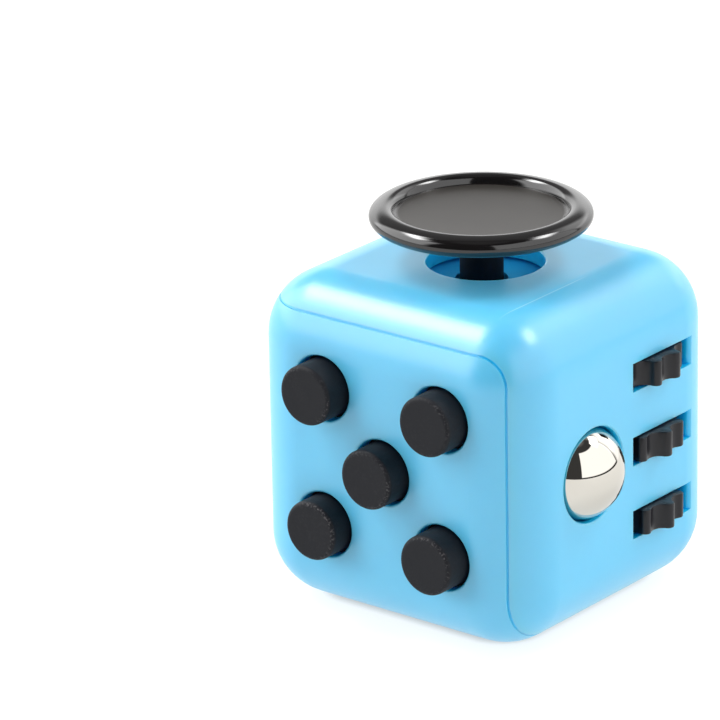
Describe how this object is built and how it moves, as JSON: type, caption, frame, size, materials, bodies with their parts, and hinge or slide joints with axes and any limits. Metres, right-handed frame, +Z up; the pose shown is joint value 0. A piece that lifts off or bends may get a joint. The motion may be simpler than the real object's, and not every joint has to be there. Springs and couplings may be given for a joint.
{
  "type": "fidget cube",
  "caption": "Palm-sized rounded plastic cube with push buttons, a gliding thumb stick, a sprung rolling ball, star wheels, a rocker, a dial and a thumb dent.",
  "frame": {"origin": "centre of the square that the cube stands on, on the resting plane", "axes": "+Z up towards the stick, +X towards the ball and the star wheels, -Y towards the buttons"},
  "size_m": [0.0382, 0.0382, 0.0385],
  "materials": {
    "blue_plastic": "satin gloss, sky blue",
    "black_plastic": "satin black",
    "black_rubber": "matt black",
    "white_plastic": "matt white",
    "circuit_board": "green circuit board",
    "steel": "plain steel",
    "polished_steel": "polished"
  },
  "bodies": {
    "case": {"case_body": "blue_plastic", "case_cover": "blue_plastic", "glide_base": "blue_plastic", "click_switch_upper_left": "black_plastic", "click_switch_centre": "black_plastic", "click_switch_lower_right": "black_plastic", "silent_spring_upper_right": "steel", "silent_spring_lower_left": "steel", "click_board": "circuit_board", "board_screw_1": "steel", "board_screw_2": "steel", "board_screw_3": "steel", "board_screw_4": "steel", "glide_spring": "steel", "glide_screw_1": "steel", "glide_screw_2": "steel", "glide_screw_3": "steel", "ball_spring": "steel", "ball_screw_1": "steel", "ball_screw_2": "steel", "wheel_axle": "steel", "axle_clip": "steel", "dial_washer": "steel", "rocker_pin": "steel", "rocker_spring": "steel", "rocker_screw_1": "steel", "rocker_screw_2": "steel", "ball_housing": "white_plastic", "wheel_spacer_1": "white_plastic", "wheel_spacer_2": "white_plastic", "rocker_housing": "white_plastic"},
    "button_upper_left": {"button_upper_left": "black_rubber", "click_plunger_upper_left": "black_rubber"},
    "button_upper_right": {"button_upper_right": "black_rubber"},
    "button_centre": {"button_centre": "black_rubber", "click_plunger_centre": "black_rubber"},
    "button_lower_left": {"button_lower_left": "black_rubber"},
    "button_lower_right": {"button_lower_right": "black_rubber", "click_plunger_lower_right": "black_rubber"},
    "carriage": {"glide_carriage": "blue_plastic"},
    "stick": {"stick_cap": "black_plastic", "stick_post": "black_plastic", "stick_screw": "steel", "stick_slider": "blue_plastic"},
    "cup": {"ball_cup": "black_plastic"},
    "ball": {"roller_ball": "polished_steel"},
    "wheel_upper": {"star_wheel_upper": "black_plastic"},
    "wheel_middle": {"star_wheel_middle": "black_plastic"},
    "wheel_lower": {"star_wheel_lower": "black_plastic"},
    "dial": {"dial": "black_plastic", "dial_screw": "steel"},
    "rocker": {"rocker": "black_plastic"},
    "rocker_plunger": {"rocker_plunger": "white_plastic"}
  },
  "joints": [
    {"name": "press_upper_left", "type": "slide", "parent": "case", "child": "button_upper_left", "axis": [0, 1, 0], "range_m": [0, 0.0008], "stiffness_N_per_m": 800, "springref_m": -0.0004},
    {"name": "press_upper_right", "type": "slide", "parent": "case", "child": "button_upper_right", "axis": [0, 1, 0], "range_m": [0, 0.0008], "stiffness_N_per_m": 800, "springref_m": -0.0004, "deforming": ["silent_spring_upper_right"]},
    {"name": "press_centre", "type": "slide", "parent": "case", "child": "button_centre", "axis": [0, 1, 0], "range_m": [0, 0.0008], "stiffness_N_per_m": 800, "springref_m": -0.0004},
    {"name": "press_lower_left", "type": "slide", "parent": "case", "child": "button_lower_left", "axis": [0, 1, 0], "range_m": [0, 0.0008], "stiffness_N_per_m": 800, "springref_m": -0.0004, "deforming": ["silent_spring_lower_left"]},
    {"name": "press_lower_right", "type": "slide", "parent": "case", "child": "button_lower_right", "axis": [0, 1, 0], "range_m": [0, 0.0008], "stiffness_N_per_m": 800, "springref_m": -0.0004},
    {"name": "glide_across", "type": "slide", "parent": "case", "child": "carriage", "axis": [1, 0, 0], "range_m": [-0.0022, 0.0022], "stiffness_N_per_m": 250, "deforming": ["glide_spring"]},
    {"name": "glide_forward", "type": "slide", "parent": "carriage", "child": "stick", "axis": [0, 1, 0], "range_m": [-0.0022, 0.0022], "stiffness_N_per_m": 250, "deforming": ["glide_spring"]},
    {"name": "ball_press", "type": "slide", "parent": "case", "child": "cup", "axis": [-1, 0, 0], "range_m": [0, 0.0008], "stiffness_N_per_m": 1500, "springref_m": -0.0004, "deforming": ["ball_spring"]},
    {"name": "ball_roll", "type": "hinge", "parent": "cup", "child": "ball", "pos_m": [0.0143, -0.00478, 0.0163], "axis": [0, 0, 1], "continuous": true},
    {"name": "wheel_spin_upper", "type": "hinge", "parent": "case", "child": "wheel_upper", "pos_m": [0.01315, 0.00575, 0.02405], "axis": [0, 0, 1], "continuous": true},
    {"name": "wheel_spin_middle", "type": "hinge", "parent": "case", "child": "wheel_middle", "pos_m": [0.01315, 0.00575, 0.01658], "axis": [0, 0, 1], "continuous": true},
    {"name": "wheel_spin_lower", "type": "hinge", "parent": "case", "child": "wheel_lower", "pos_m": [0.01315, 0.00575, 0.0091], "axis": [0, 0, 1], "continuous": true},
    {"name": "dial_spin", "type": "hinge", "parent": "case", "child": "dial", "pos_m": [0, 0.0165, 0.0165], "axis": [0, 1, 0], "continuous": true},
    {"name": "rocker_flip", "type": "hinge", "parent": "case", "child": "rocker", "pos_m": [-0.0132, 0, 0.0165], "axis": [0, -1, 0], "range_deg": [0, 23]},
    {"name": "rocker_plunge", "type": "slide", "parent": "case", "child": "rocker_plunger", "axis": [1, 0, 0], "range_m": [0, 0.0008], "stiffness_N_per_m": 300, "springref_m": -0.0005, "deforming": ["rocker_spring"]}
  ]
}
